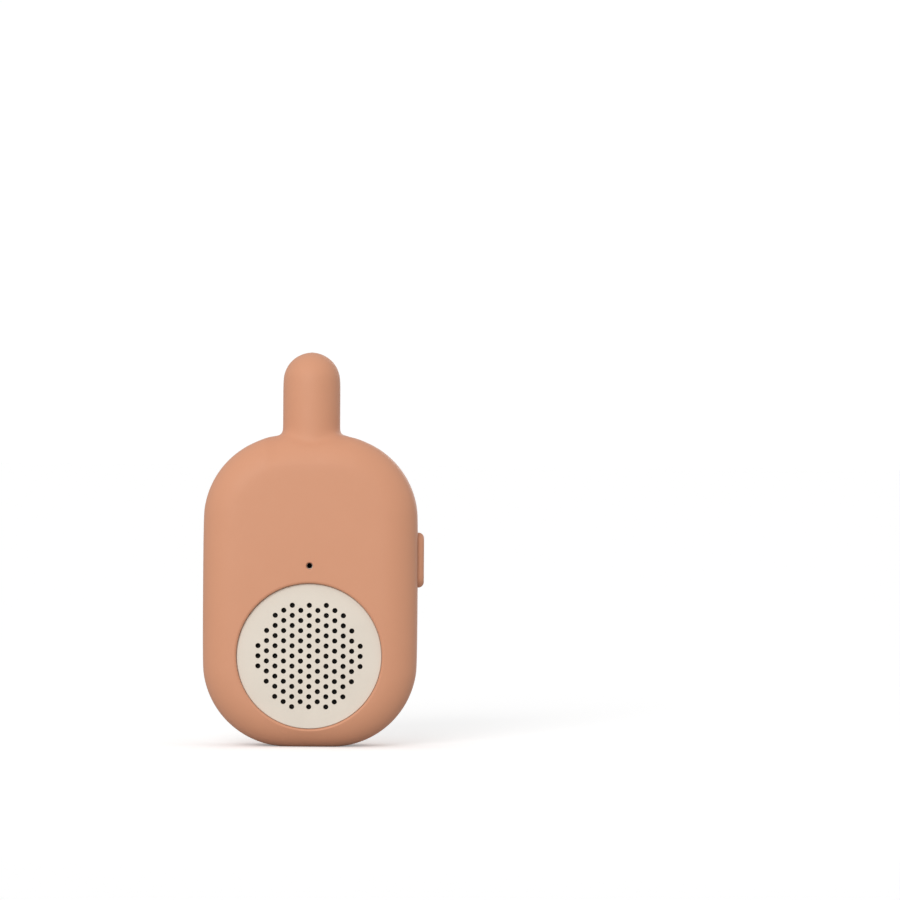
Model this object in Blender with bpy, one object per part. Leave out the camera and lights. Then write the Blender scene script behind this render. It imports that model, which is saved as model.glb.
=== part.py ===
"""Toy walkie talkie: a hard plastic radio in a one-piece silicone sleeve.

The frame: the radio stands on the flat base of its sleeve, with +Z up along the antenna, the
speaker grille facing -Y and the talk button on +X. The origin is the middle of the flat base.
Lengths are in millimetres and become metres as each shape is made.
"""
import math

import bmesh
import bpy
from mathutils import Vector

for leftover in list(bpy.data.objects):
    bpy.data.objects.remove(leftover)

MM = 0.001

# Driving sizes of the outside
BODY_HALF_WIDTH = 36.85
BODY_HEIGHT = 107.0
BODY_HALF_DEPTH = 15.0
CORNER_RADIUS = 29.2
BASE_CUT = 0.22               # how much the flat base takes off the round lower end
SIDE_HALF_BAND = 5.0          # half the width of the flat band round the sides
RIM_WIDTH = 12.7              # the rounded front and back rims, measured across the face
ANTENNA_RADIUS = 9.85
ANTENNA_TOP = 135.0
ANTENNA_FILLET = 2.2

# Walls and fits
SKIN = 2.0                    # silicone sleeve
FIT = 0.3                     # gap between pieces that touch
WALL = 1.8                    # hard casing
SPLIT = 0.15                  # each casing half stops this far from the middle plane

# Centres of the things on the faces
SPEAKER_Z = 31.2
MIC_Z = 62.0
BUTTON_Z = 63.9
SWITCH_Z = 19.0

# Worked out from the above
RIM_DEPTH = BODY_HALF_DEPTH - SIDE_HALF_BAND
CORE_X = BODY_HALF_WIDTH - CORNER_RADIUS
CORE_TOP = BODY_HEIGHT - CORNER_RADIUS
CORE_BOTTOM = CORNER_RADIUS - BASE_CUT
TIP_CENTRE = ANTENNA_TOP - ANTENNA_RADIUS
CASING_OUT = SKIN + FIT
CASING_IN = CASING_OUT + WALL
CASING_FACE = BODY_HALF_DEPTH - CASING_OUT
SIDE_WALL = BODY_HALF_WIDTH - CASING_IN

# Colour as sRGB out of 255, roughness, metallic
SILICONE = ((212, 154, 123), 0.62, 0.0)
CREAM = ((221, 210, 196), 0.45, 0.0)
SHADOW_CLOTH = ((26, 25, 24), 0.9, 0.0)
RUBBER = ((38, 37, 36), 0.8, 0.0)
STEEL = ((176, 178, 180), 0.32, 1.0)
NICKEL = ((200, 198, 190), 0.28, 1.0)
FERRITE = ((62, 60, 58), 0.6, 0.0)
PAPER = ((44, 42, 40), 0.85, 0.0)
BOARD_GREEN = ((38, 92, 62), 0.45, 0.0)
CHIP_BLACK = ((28, 28, 30), 0.5, 0.0)
CELL_WRAP = ((86, 108, 120), 0.4, 0.0)
COPPER = ((186, 112, 72), 0.3, 1.0)
RED_LEAD = ((170, 44, 38), 0.5, 0.0)
BLACK_LEAD = ((32, 32, 34), 0.5, 0.0)


# ---------------------------------------------------------------- shapes

def at(axis, across, along, height):
    """A point in metres from two outline values and a height along the named axis."""
    if axis == "x":
        return Vector((height, across, along)) * MM
    if axis == "y":
        return Vector((across, height, along)) * MM
    return Vector((across, along, height)) * MM


def spread(start, end, steps):
    """Evenly spaced values after start, up to and including end."""
    return [start + (end - start) * step / steps for step in range(1, steps + 1)]


def bridge(bm, ring, other):
    """Quads or triangles between two closed rings, either of which may be one point."""
    count = max(len(ring), len(other))
    for k in range(count):
        corners = []
        for row, index in ((ring, k), (ring, k + 1), (other, k + 1), (other, k)):
            vertex = row[index % len(row)]
            if vertex not in corners:
                corners.append(vertex)
        if len(corners) > 2:
            bm.faces.new(corners)


def prism(outline, axis, low, high):
    """An outline pushed along an axis."""
    bm = bmesh.new()
    ends = [[bm.verts.new(at(axis, u, v, height)) for u, v in outline] for height in (low, high)]
    bridge(bm, *ends)
    for end in ends:
        bm.faces.new(end)
    bmesh.ops.recalc_face_normals(bm, faces=bm.faces)
    return bm


def box(x_range, y_range, z_range):
    """A plain block between three pairs of limits."""
    (x0, x1), (y0, y1) = x_range, y_range
    return prism([(x0, y0), (x1, y0), (x1, y1), (x0, y1)], "z", *z_range)


def rounded(u, v, half_u, half_v, radius, steps=4):
    """A rectangle with round corners, about (u, v)."""
    points = []
    for corner in range(4):
        sign_u = (1, -1, -1, 1)[corner]
        sign_v = (1, 1, -1, -1)[corner]
        for step in range(steps + 1):
            angle = math.pi / 2 * (corner + step / steps)
            points.append((u + sign_u * (half_u - radius) + radius * math.cos(angle),
                           v + sign_v * (half_v - radius) + radius * math.sin(angle)))
    return points


def turned(profile, axis, centre, sides=16):
    """A closed profile of (radius, height) turned about an axis through centre."""
    bm = bmesh.new()
    rings = []
    for radius, height in profile:
        count = sides if radius > 0 else 1
        angles = [2 * math.pi * (k + 0.5) / sides for k in range(count)]
        rings.append([bm.verts.new(at(axis, centre[0] + radius * math.cos(a),
                                      centre[1] + radius * math.sin(a), height)) for a in angles])
    for ring, other in zip(rings, rings[1:] + rings[:1]):
        if len(ring) + len(other) > 2:
            bridge(bm, ring, other)
    bmesh.ops.recalc_face_normals(bm, faces=bm.faces)
    return bm


def rod(radius, axis, centre, low, high, sides=16):
    """A plain cylinder between two heights."""
    return turned([(0, low), (radius, low), (radius, high), (0, high)], axis, centre, sides)


def counterbored(axis, centre, low, hole_radius, seat, seat_radius, high, sides=16):
    """A cutter for a round hole that widens into a seat for a screw head."""
    return turned([(0, low), (hole_radius, low), (hole_radius, seat), (seat_radius, seat),
                   (seat_radius, high), (0, high)], axis, centre, sides)


def soften(bm, axis, height, width, segments):
    """Round the rim of the flat end at a height along an axis."""
    index = "xyz".index(axis)
    rim = []
    for edge in bm.edges:
        level = all(abs(vertex.co[index] - height * MM) < 1e-7 for vertex in edge.verts)
        if level and edge.calc_face_angle(0) > 0.5:
            rim.append(edge)
    bmesh.ops.bevel(bm, geom=rim, offset=width * MM, segments=segments, profile=0.5,
                    affect="EDGES")
    return bm


# ---------------------------------------------------------------- objects

def linear(channel):
    """One sRGB channel out of 255 as the linear value that a shader takes."""
    value = channel / 255
    return value / 12.92 if value <= 0.04045 else ((value + 0.055) / 1.055) ** 2.4


def finish_material(name, finish):
    colour, roughness, metallic = finish
    material = bpy.data.materials.new(name)
    material.use_nodes = True
    shader = material.node_tree.nodes["Principled BSDF"]
    shader.inputs["Base Color"].default_value = (*[linear(channel) for channel in colour], 1)
    shader.inputs["Roughness"].default_value = roughness
    shader.inputs["Metallic"].default_value = metallic
    return material


def link(name, data, finish, origin):
    data.materials.append(finish_material(name + "_finish", finish))
    made = bpy.data.objects.new(name, data)
    made.location = Vector(origin) * MM
    bpy.context.scene.collection.objects.link(made)
    return made


def piece(name, finish, bm, origin=(0, 0, 0)):
    """A named sub-part whose own origin is at the given point."""
    mesh = bpy.data.meshes.new(name)
    bmesh.ops.translate(bm, verts=bm.verts, vec=-Vector(origin) * MM)
    bm.to_mesh(mesh)
    bm.free()
    mesh.shade_smooth()
    mesh.set_sharp_from_angle(angle=math.radians(35))
    return link(name, mesh, finish, origin)


def shape_with(body, operation, bm):
    """Join a shape to a sub-part, or cut it away, with an exact Boolean."""
    name = "{}_{}_{}".format(body.name, operation.lower(), len(body.modifiers))
    mesh = bpy.data.meshes.new(name)
    bm.to_mesh(mesh)
    bm.free()
    tool = bpy.data.objects.new(name, mesh)
    tool.hide_render = True
    tool.display_type = "WIRE"
    bpy.context.scene.collection.objects.link(tool)
    boolean = body.modifiers.new(name, "BOOLEAN")
    boolean.operation = operation
    boolean.solver = "EXACT"
    boolean.object = tool


def cut(body, bm):
    shape_with(body, "DIFFERENCE", bm)


def join(body, bm):
    shape_with(body, "UNION", bm)


def smooth_route(points, step):
    """Points about a step apart on a smooth curve through the given ones."""
    marks = [Vector(point) for point in points]
    marks = [2 * marks[0] - marks[1]] + marks + [2 * marks[-1] - marks[-2]]
    route = [marks[1]]
    for before, start, end, after in zip(marks, marks[1:], marks[2:], marks[3:]):
        for t in spread(0, 1, max(1, round((end - start).length / step))):
            route.append(0.5 * (2 * start + (end - before) * t
                                + (2 * before - 5 * start + 4 * end - after) * t ** 2
                                + (3 * start - before - 3 * end + after) * t ** 3))
    return route


def round_wire(name, finish, points, radius):
    """A round wire along points in millimetres, closed at both ends."""
    curve = bpy.data.curves.new(name, "CURVE")
    curve.dimensions = "3D"
    curve.bevel_depth = radius * MM
    curve.bevel_resolution = 1
    curve.use_fill_caps = True
    spline = curve.splines.new("POLY")
    spline.points.add(len(points) - 1)
    for spline_point, point in zip(spline.points, points):
        spline_point.co = (*(Vector(point) * MM), 1)
    return link(name, curve, finish, (0, 0, 0))


# ---------------------------------------------------------------- the outer shape

SHOULDER_ANGLE = 16.6                                          # where the antenna's root ends
PATCH_TILT = 58.0
BASE_ANGLE = math.degrees(math.acos(CORE_BOTTOM / CORNER_RADIUS))
FLAT_TILT = math.degrees(math.acos(1 - BASE_CUT / RIM_WIDTH))  # where the rim leaves the base
COARSE, FINE = 1, 2
RIM_TILTS = {COARSE: (90, PATCH_TILT, 26, 0), FINE: (90, 74, PATCH_TILT, 42, 26, FLAT_TILT, 0)}
TIP_ANGLES = {COARSE: (0, 30, 60), FINE: (0, 18, 36, 54, 72)}


def outline_stations(detail):
    """The outline as points of an inner rectangle with the direction that each is pushed in.

    They run clockwise from the top centre, seen from the front; angles are from +Z towards +X.
    """
    angles = spread(0, SHOULDER_ANGLE, detail) + spread(SHOULDER_ANGLE, 90, 4 * detail)
    right = [(x, CORE_TOP, 0) for x in spread(0, CORE_X, detail)]
    right += [(CORE_X, CORE_TOP, angle) for angle in angles]
    right += [(CORE_X, z, 90) for z in spread(CORE_TOP, CORE_BOTTOM, detail)]
    angles = spread(90, 180 - BASE_ANGLE, 4 * detail) + [180]
    right += [(CORE_X, CORE_BOTTOM, angle) for angle in angles]
    left = [(-x, z, -angle) for x, z, angle in reversed(right)]
    return [(0, CORE_TOP, 0)] + right + [(0, CORE_BOTTOM, 180)] + left


def body_top(x, y, offset):
    """Height of the upper side of the body at a point, for a surface offset inwards."""
    over = max(abs(y) - SIDE_HALF_BAND, 0) / (RIM_DEPTH - offset)
    inset = offset + (RIM_WIDTH - offset) * (1 - math.sqrt(1 - over ** 2))
    across = max(abs(x) - CORE_X, 0)
    return CORE_TOP + math.sqrt((CORNER_RADIUS - inset) ** 2 - across ** 2)


def outer_surface(offset, detail):
    """The body and antenna as one closed shape, moved inwards by offset all over."""
    bm = bmesh.new()
    stations = outline_stations(detail)
    levels = []
    for tilt in RIM_TILTS[detail]:
        turn = math.radians(tilt)
        y = -SIDE_HALF_BAND - (RIM_DEPTH - offset) * math.sin(turn)
        levels.append((tilt, y, offset + (RIM_WIDTH - offset) * (1 - math.cos(turn))))
    levels += [(tilt, -y, inset) for tilt, y, inset in reversed(levels)]
    grid = []
    for tilt, y, inset in levels:
        row = []
        for x, z, angle in stations:
            push = CORNER_RADIUS - inset
            x += push * math.sin(math.radians(angle))
            z += push * math.cos(math.radians(angle))
            row.append(bm.verts.new(at("z", x, y, max(z, offset))))
        grid.append(row)

    root_levels = [k for k, level in enumerate(levels) if level[0] <= PATCH_TILT]
    first, last = root_levels[0], root_levels[-1]
    reach = 2 * detail
    count = len(stations)
    for k in range(len(levels) - 1):
        for j in range(-reach, count - reach):
            if not (first <= k < last and j < reach):
                bm.faces.new((grid[k][j], grid[k][j + 1], grid[k + 1][j + 1], grid[k + 1][j]))
    bm.faces.new(grid[0])
    bm.faces.new(grid[-1])

    loop = [grid[first][j] for j in range(reach + 1)]
    loop += [grid[k][reach] for k in range(first + 1, last)]
    loop += [grid[last][j] for j in range(reach, -reach - 1, -1)]
    loop += [grid[k][-reach] for k in range(last - 1, first, -1)]
    loop += [grid[first][j] for j in range(-reach, 0)]
    radius = ANTENNA_RADIUS - offset
    corner = ANTENNA_FILLET * (1 - math.sqrt(0.5))
    turns = [2 * math.pi * k / len(loop) - math.pi / 2 for k in range(len(loop))]

    def ring(reach_out, height, standing_on_body):
        row = []
        for turn in turns:
            x, y = reach_out * math.cos(turn), reach_out * math.sin(turn)
            floor = body_top(x, y, offset) if standing_on_body else 0
            row.append(bm.verts.new(at("z", x, y, floor + height)))
        return row

    foot = ring(radius + ANTENNA_FILLET, 0, True)
    between = []
    for outer, inner in zip(loop, foot):
        middle = (outer.co + inner.co) / 2 / MM
        between.append(bm.verts.new(at("z", middle.x, middle.y,
                                       body_top(middle.x, middle.y, offset))))
    rings = [loop, between, foot, ring(radius + corner, corner, True),
             ring(radius, ANTENNA_FILLET, True)]
    for angle in TIP_ANGLES[detail]:
        lift = math.radians(angle)
        rings.append(ring(radius * math.cos(lift), TIP_CENTRE + radius * math.sin(lift), False))
    rings.append([bm.verts.new(at("z", 0, 0, TIP_CENTRE + radius))])
    for ring_below, ring_above in zip(rings, rings[1:]):
        bridge(bm, ring_below, ring_above)
    bmesh.ops.recalc_face_normals(bm, faces=bm.faces)
    return bm


# ---------------------------------------------------------------- the sleeve

FAR = 60.0                     # past the object in any direction across it
WINDOW_RADIUS = 24.85
DOOR_X, DOOR_LOW, DOOR_HIGH = 18.6, 31.5, 93.0
DOOR_MIDDLE = (DOOR_LOW + DOOR_HIGH) / 2
DOOR_HALF_HEIGHT = (DOOR_HIGH - DOOR_LOW) / 2
BUTTON_Y, BUTTON_HALF_HEIGHT = 4.0, 9.45
CASE_MID_DEPTH = 9.0           # a cut from a face stops here, inside the hollow


def button_outline(grow):
    return rounded(0, BUTTON_Z, BUTTON_Y + grow, BUTTON_HALF_HEIGHT + grow, BUTTON_Y + grow - 0.05)


sleeve = piece("silicone_sleeve", SILICONE, outer_surface(0, FINE))
cut(sleeve, outer_surface(SKIN, COARSE))
cut(sleeve, rod(WINDOW_RADIUS, "y", (0, SPEAKER_Z), -FAR, -CASE_MID_DEPTH, 64))
cut(sleeve, rod(1.55, "y", (0, MIC_Z), -FAR, -CASE_MID_DEPTH))
cut(sleeve, prism(rounded(0, DOOR_MIDDLE, DOOR_X + 0.35, DOOR_HALF_HEIGHT + 0.35, 5.3),
                  "y", CASE_MID_DEPTH, FAR))
cut(sleeve, prism(rounded(0, SWITCH_Z, 7.0, 3.5, 2.0), "y", CASE_MID_DEPTH, FAR))
cut(sleeve, prism(button_outline(FIT), "x", SIDE_WALL - 3, FAR))

# ---------------------------------------------------------------- the front casing

GRILLE_RADIUS = 24.5
GRILLE_FRONT, GRILLE_BACK = -13.3, -12.0
SEAT_BACK = -9.2
SOUND_RADIUS = 19.2
BOARD_FRONT, BOARD_BACK = -5.4, -4.2
CASE_SCREWS = [(side * x, z) for x, z in ((22.0, 16.0), (24.0, 84.0)) for side in (-1, 1)]
BOARD_SCREWS = [(side * 24.0, 74.0) for side in (-1, 1)]
POST_ROOT = 11.1               # screw posts start this far from the middle, inside the wall

front = piece("front_casing", CREAM, outer_surface(CASING_OUT, COARSE))
cut(front, outer_surface(CASING_IN, COARSE))
cut(front, box((-FAR, FAR), (-SPLIT, FAR), (-FAR, 200)))
join(front, rod(GRILLE_RADIUS - 0.1, "y", (0, SPEAKER_Z), GRILLE_BACK + FIT, SEAT_BACK, 48))
cut(front, rod(GRILLE_RADIUS + FIT, "y", (0, SPEAKER_Z), -FAR, GRILLE_BACK + FIT, 48))
cut(front, rod(SOUND_RADIUS, "y", (0, SPEAKER_Z), -FAR, SEAT_BACK + 1, 32))
for post in CASE_SCREWS:
    join(front, rod(3.0, "y", post, -POST_ROOT, -SPLIT, 12))
    cut(front, rod(1.5, "y", post, -8.0, 1, 8))
for post in BOARD_SCREWS:
    join(front, rod(2.0, "y", post, -POST_ROOT, BOARD_FRONT - FIT, 12))
    cut(front, rod(1.2, "y", post, -9.6, 1, 8))
cut(front, rod(0.9, "y", (0, MIC_Z), -FAR, -CASE_MID_DEPTH, 24))
cut(front, prism(button_outline(FIT), "x", SIDE_WALL - 3, FAR))

# ---------------------------------------------------------------- the back casing

BOX_X, BOX_LOW, BOX_HIGH = 19.6, 41.5, 93.9
BOX_FRONT = -1.8
POCKET_X, POCKET_LOW, POCKET_HIGH, POCKET_FRONT = 17.6, 43.0, 91.9, -0.6
DOOR_SCREW = (0.0, 37.0)
DOOR_INSIDE, DOOR_OUTSIDE = 11.6, 14.0
TAB_MIDDLE, TAB_HALF = 5.55, 2.0
CELL_RADIUS, CELL_Y, CELL_PITCH = 5.25, 4.95, 11.1
TAG_HALF = 0.9

back = piece("back_casing", CREAM, outer_surface(CASING_OUT, COARSE))
cut(back, outer_surface(CASING_IN, COARSE))
cut(back, box((-FAR, FAR), (-FAR, SPLIT), (-FAR, 200)))
join(back, box((-BOX_X, BOX_X), (BOX_FRONT, 11.5), (BOX_LOW, BOX_HIGH)))
join(back, box((-BOX_X, BOX_X), (9.0, 11.45), (30.5, BOX_LOW + 0.5)))
join(back, rod(3.0, "y", DOOR_SCREW, 5.0, 9.5))
join(back, box((-4, 4), (0.4, 9.0), (100.6, 102.4)))
for side in (-1, 1):
    join(back, box(sorted((side * 4.75, side * 6.0)), (5.0, POST_ROOT), (17.2, 20.8)))
for post in CASE_SCREWS:
    join(back, rod(3.2, "y", post, SPLIT, POST_ROOT, 12))
cut(back, box((-POCKET_X, POCKET_X), (POCKET_FRONT, 12.0), (POCKET_LOW, POCKET_HIGH)))
cut(back, prism(rounded(0, DOOR_MIDDLE, DOOR_X + FIT, DOOR_HALF_HEIGHT + FIT, 5.3),
                "y", DOOR_INSIDE - FIT, FAR))
cut(back, counterbored("y", DOOR_SCREW, 5.8, 1.75, 10.5, 5.0, FAR))
for side in (-1, 1):
    edges = sorted((side * (TAB_MIDDLE - TAB_HALF - 0.4), side * (TAB_MIDDLE + TAB_HALF + 0.4)))
    cut(back, box(edges, (7.9, DOOR_INSIDE), (POCKET_HIGH - 2, 96.5)))
for post in CASE_SCREWS:
    cut(back, counterbored("y", post, -1, 1.5, 6.3, 2.8, FAR, 12))
cut(back, box((-5.2, 5.2), (8.5, FAR), (SWITCH_Z - 1.5, SWITCH_Z + 1.5)))
cut(back, prism(button_outline(FIT), "x", SIDE_WALL - 3, FAR))
cut(back, box((-CELL_PITCH - TAG_HALF - FIT, -CELL_PITCH + TAG_HALF + FIT), (0.7, 1.7),
              (BOX_LOW - 1, POCKET_LOW + 1)))
cut(back, box((CELL_PITCH - TAG_HALF - FIT, CELL_PITCH + TAG_HALF + FIT), (0.7, 1.7),
              (POCKET_HIGH - 1, BOX_HIGH + 1)))

# ---------------------------------------------------------------- speaker

SPEAKER = (0, SPEAKER_Z)
HOLE_RADIUS = 0.875
HOLE_COLUMN, HOLE_PITCH = 2.93, 3.49
HOLE_FIELD = 18.75


def hole_centres():
    """Staggered columns of holes inside a round field."""
    for column in range(-6, 7):
        for row in range(-7, 7):
            x = column * HOLE_COLUMN
            z = (row + 0.5 * (column % 2)) * HOLE_PITCH
            if math.hypot(x, z) < HOLE_FIELD:
                yield x, SPEAKER_Z + z


grille_disc = rod(GRILLE_RADIUS, "y", SPEAKER, GRILLE_FRONT, GRILLE_BACK, 64)
grille = piece("speaker_grille", CREAM, soften(grille_disc, "y", GRILLE_FRONT, 0.5, 2))
drills = bmesh.new()
for hole in hole_centres():
    drill = rod(HOLE_RADIUS, "y", hole, GRILLE_FRONT - 1, GRILLE_BACK + 1, 6)
    drill_mesh = bpy.data.meshes.new("drill")
    drill.to_mesh(drill_mesh)
    drills.from_mesh(drill_mesh)
    drill.free()
    bpy.data.meshes.remove(drill_mesh)
cut(grille, drills)

piece("speaker_cloth", SHADOW_CLOTH, rod(SOUND_RADIUS - 0.4, "y", SPEAKER, -11.5, -11.1, 32))
piece("speaker_gasket", RUBBER,
      turned([(17.6, -8.9), (19.9, -8.9), (19.9, -8.1), (17.6, -8.1)], "y", SPEAKER, 24))
piece("speaker_basket", STEEL,
      turned([(20, -7.8), (20, -7), (17.5, -7), (10.5, -2.4), (3, -2.4), (3, -3.2), (10, -3.2),
              (16.9, -7.8)], "y", SPEAKER, 24))
piece("speaker_cone", PAPER,
      turned([(0, -6.6), (3, -6.3), (4.5, -5.4), (15.8, -7.85), (15.8, -7.45), (4.5, -4.9),
              (0, -4.9)], "y", SPEAKER, 24))
piece("speaker_magnet", FERRITE, rod(9.5, "y", SPEAKER, -2.1, 2.3, 24))

# ---------------------------------------------------------------- talk button

BUTTON_FACE = BODY_HALF_WIDTH + 2.05
BUTTON_TRAVEL = 1.0
SWITCH_Y = -2.4

bar = soften(prism(button_outline(0), "x", SIDE_WALL - 0.4, BUTTON_FACE), "x", BUTTON_FACE, 1.9, 3)
button = piece("ptt_button", SILICONE, bar, (BUTTON_FACE, 0, BUTTON_Z))
join(button, prism(rounded(0, BUTTON_Z, 5.0, 11.0, 2.0, 2), "x", SIDE_WALL - 1.75,
                   SIDE_WALL - 0.35))
join(button, rod(1.2, "x", (SWITCH_Y, BUTTON_Z), 28.6, SIDE_WALL - 1.5, 12))

switch_body = piece("ptt_switch_body", CHIP_BLACK,
                    box((22.5, 27.0), (-4.0, -0.8), (BUTTON_Z - 3, BUTTON_Z + 3)))
cut(switch_body, rod(1.3, "x", (SWITCH_Y, BUTTON_Z), 23.9, 28, 12))
piece("ptt_switch_plunger", CREAM, rod(1.0, "x", (SWITCH_Y, BUTTON_Z), 25.0, 28.2, 12),
      (28.2, SWITCH_Y, BUTTON_Z))

# ---------------------------------------------------------------- power slide switch

KNOB_X = -2.0                  # the off position; on is 4 mm further along +X

knob_plate = prism(rounded(KNOB_X, SWITCH_Z, 3.0, 2.7, 0.9, 3), "y", CASING_FACE + FIT, 14.2)
knob = piece("power_switch_knob", CREAM, soften(knob_plate, "y", 14.2, 0.35, 2),
             (KNOB_X, CASING_FACE, SWITCH_Z))
join(knob, box((KNOB_X - 1.2, KNOB_X + 1.2), (10.2, 13.2), (SWITCH_Z - 1.2, SWITCH_Z + 1.2)))
piece("power_switch_lever", STEEL,
      box((KNOB_X - 0.8, KNOB_X + 0.8), (7.3, 9.9), (SWITCH_Z - 0.8, SWITCH_Z + 0.8)),
      (KNOB_X, 7.3, SWITCH_Z))
slide_body = piece("power_switch_body", CHIP_BLACK,
                   box((-4.35, 4.35), (4.0, 8.0), (SWITCH_Z - 2, SWITCH_Z + 2)))
cut(slide_body, box((-3.4, 3.4), (7.0, 9.0), (SWITCH_Z - 1.1, SWITCH_Z + 1.1)))

# ---------------------------------------------------------------- battery cover

HINGE_Y, HINGE_Z = DOOR_OUTSIDE, 93.2

cover_plate = prism(rounded(0, DOOR_MIDDLE, DOOR_X, DOOR_HALF_HEIGHT, 5.0), "y", DOOR_INSIDE,
                    DOOR_OUTSIDE)
cover = piece("battery_cover", CREAM, soften(cover_plate, "y", DOOR_OUTSIDE, 0.4, 2),
              (0, HINGE_Y, HINGE_Z))
join(cover, rod(4.5, "y", DOOR_SCREW, DOOR_INSIDE - 0.7, DOOR_INSIDE + 0.5))
for side in (-1, 1):
    edges = sorted((side * (TAB_MIDDLE - TAB_HALF), side * (TAB_MIDDLE + TAB_HALF)))
    join(cover, box(edges, (8.8, DOOR_INSIDE + 0.5), (90.9, 92.4)))
    join(cover, box(edges, (8.8, 10.6), (90.8, 95.6)))
cut(cover, counterbored("y", DOOR_SCREW, 0, 1.7, 11.9, 2.9, FAR))

piece("cover_screw_o_ring", RUBBER,
      turned([(1.9 + 0.35 * math.cos(math.radians(turn)), 12.35 + 0.35 * math.sin(math.radians(turn)))
              for turn in range(0, 360, 60)], "y", DOOR_SCREW), (0, 12.35, DOOR_SCREW[1]))


def screw(name, place, head_radius, head_low, head_high, shank_radius, tip):
    """A pan-head screw along Y with a cross slot, its origin under the head."""
    length = head_low - tip
    profile = [(0, tip), (shank_radius, tip + length / 4), (shank_radius, head_low),
               (head_radius, head_low), (head_radius, head_high), (0, head_high)]
    made = piece(name, STEEL, turned(profile, "y", place, 12), (place[0], head_low, place[1]))
    x, z = place
    reach, half_slot = 0.6 * head_radius, 0.3
    cross = [(reach, half_slot), (half_slot, half_slot), (half_slot, reach)]
    outline = []
    for sign_x, sign_z, order in ((1, 1, 1), (-1, 1, -1), (-1, -1, 1), (1, -1, -1)):
        outline += [(x + sign_x * u, z + sign_z * v) for u, v in cross[::order]]
    cut(made, prism(outline, "y", head_high - 0.7, head_high + 1))


screw("battery_cover_screw", DOOR_SCREW, 2.4, 12.8, 13.9, 1.3, 7.0)
for number, place in enumerate(CASE_SCREWS, 1):
    screw("casing_screw_{}".format(number), place, 2.5, 6.6, 8.2, 1.2, -6.5)
for number, place in enumerate(BOARD_SCREWS, 1):
    screw("board_screw_{}".format(number), place, 2.0, BOARD_BACK + FIT, -2.7, 0.9, -8.8)

# ---------------------------------------------------------------- batteries and contacts

CONTACT = 0.4                  # thickness of the contact plates
CELL_LENGTH, NUB_HEIGHT = 44.5, 0.8
PLATE_LOW = POCKET_LOW + FIT
PLATE_HIGH = POCKET_HIGH - FIT
CELL_LOW = PLATE_LOW + CONTACT + FIT
CELL_HIGH = PLATE_HIGH - CONTACT - FIT


def upright(z, flipped):
    """A height measured from the spring end of a cell, as a height in the pocket."""
    return CELL_LOW + CELL_HIGH - z if flipped else z


for number, x in enumerate((-CELL_PITCH, 0, CELL_PITCH), 1):
    flipped = number == 2
    top = CELL_HIGH
    can = top - NUB_HEIGHT
    low = top - CELL_LENGTH
    profile = [(0, low), (CELL_RADIUS - 0.4, low), (CELL_RADIUS, low + 0.4),
               (CELL_RADIUS, can - 0.5), (CELL_RADIUS - 0.5, can), (1.9, can), (1.9, top), (0, top)]
    profile = [(radius, upright(z, flipped)) for radius, z in profile]
    piece("battery_{}".format(number), CELL_WRAP, turned(profile, "z", (x, CELL_Y), 20))
    coils, wire_radius = 2, 0.3
    lift = low - CELL_LOW - 2 * wire_radius - 0.2
    route = []
    for t in [0] + spread(0, 1, 9 * coils):
        turn = 2 * math.pi * coils * t
        radius = 3.2 - 1.5 * t
        z = CELL_LOW + wire_radius + lift * t
        route.append((x + radius * math.cos(turn), CELL_Y + radius * math.sin(turn),
                      upright(z, flipped)))
    round_wire("battery_spring_{}".format(number), STEEL, route, wire_radius)


def contact_plate(name, x_low, x_high, z_low):
    return piece(name, NICKEL, box((x_low, x_high), (1.1, 8.2), (z_low, z_low + CONTACT)))


contact_plate("battery_link_bottom", -4.2, CELL_PITCH + 4.2, PLATE_LOW)
contact_plate("battery_link_top", -CELL_PITCH - 4.2, 4.2, PLATE_HIGH - CONTACT)
negative = contact_plate("battery_terminal_negative", -CELL_PITCH - 4.2, -CELL_PITCH + 4.2, PLATE_LOW)
join(negative, box((-CELL_PITCH - TAG_HALF, -CELL_PITCH + TAG_HALF), (1.0, 1.4),
                   (BOX_LOW - 1.2, PLATE_LOW + 0.2)))
positive = contact_plate("battery_terminal_positive", CELL_PITCH - 4.2, CELL_PITCH + 4.2,
                         PLATE_HIGH - CONTACT)
join(positive, box((CELL_PITCH - TAG_HALF, CELL_PITCH + TAG_HALF), (1.0, 1.4),
                   (PLATE_HIGH - 0.2, BOX_HIGH + 1.2)))

# ---------------------------------------------------------------- circuit board

board = piece("main_board", BOARD_GREEN, prism(
    [(-27.5, 54), (27.5, 54), (27.5, 78), (19, 78), (19, 96), (-19, 96), (-19, 78), (-27.5, 78)],
    "y", BOARD_FRONT, BOARD_BACK))
for place in BOARD_SCREWS:
    cut(board, rod(1.3, "y", place, -FAR, FAR, 12))
ON_BOARD = BOARD_FRONT - 0.2   # parts on the front of the board end here


def board_block(name, finish, x, z, half_x, half_z, height):
    """A rectangular part soldered to the front of the board, with a chamfered top."""
    block = prism(rounded(x, z, half_x, half_z, 0.3, 1), "y", ON_BOARD - height, ON_BOARD)
    piece(name, finish, soften(block, "y", ON_BOARD - height, 0.25, 1))


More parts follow.
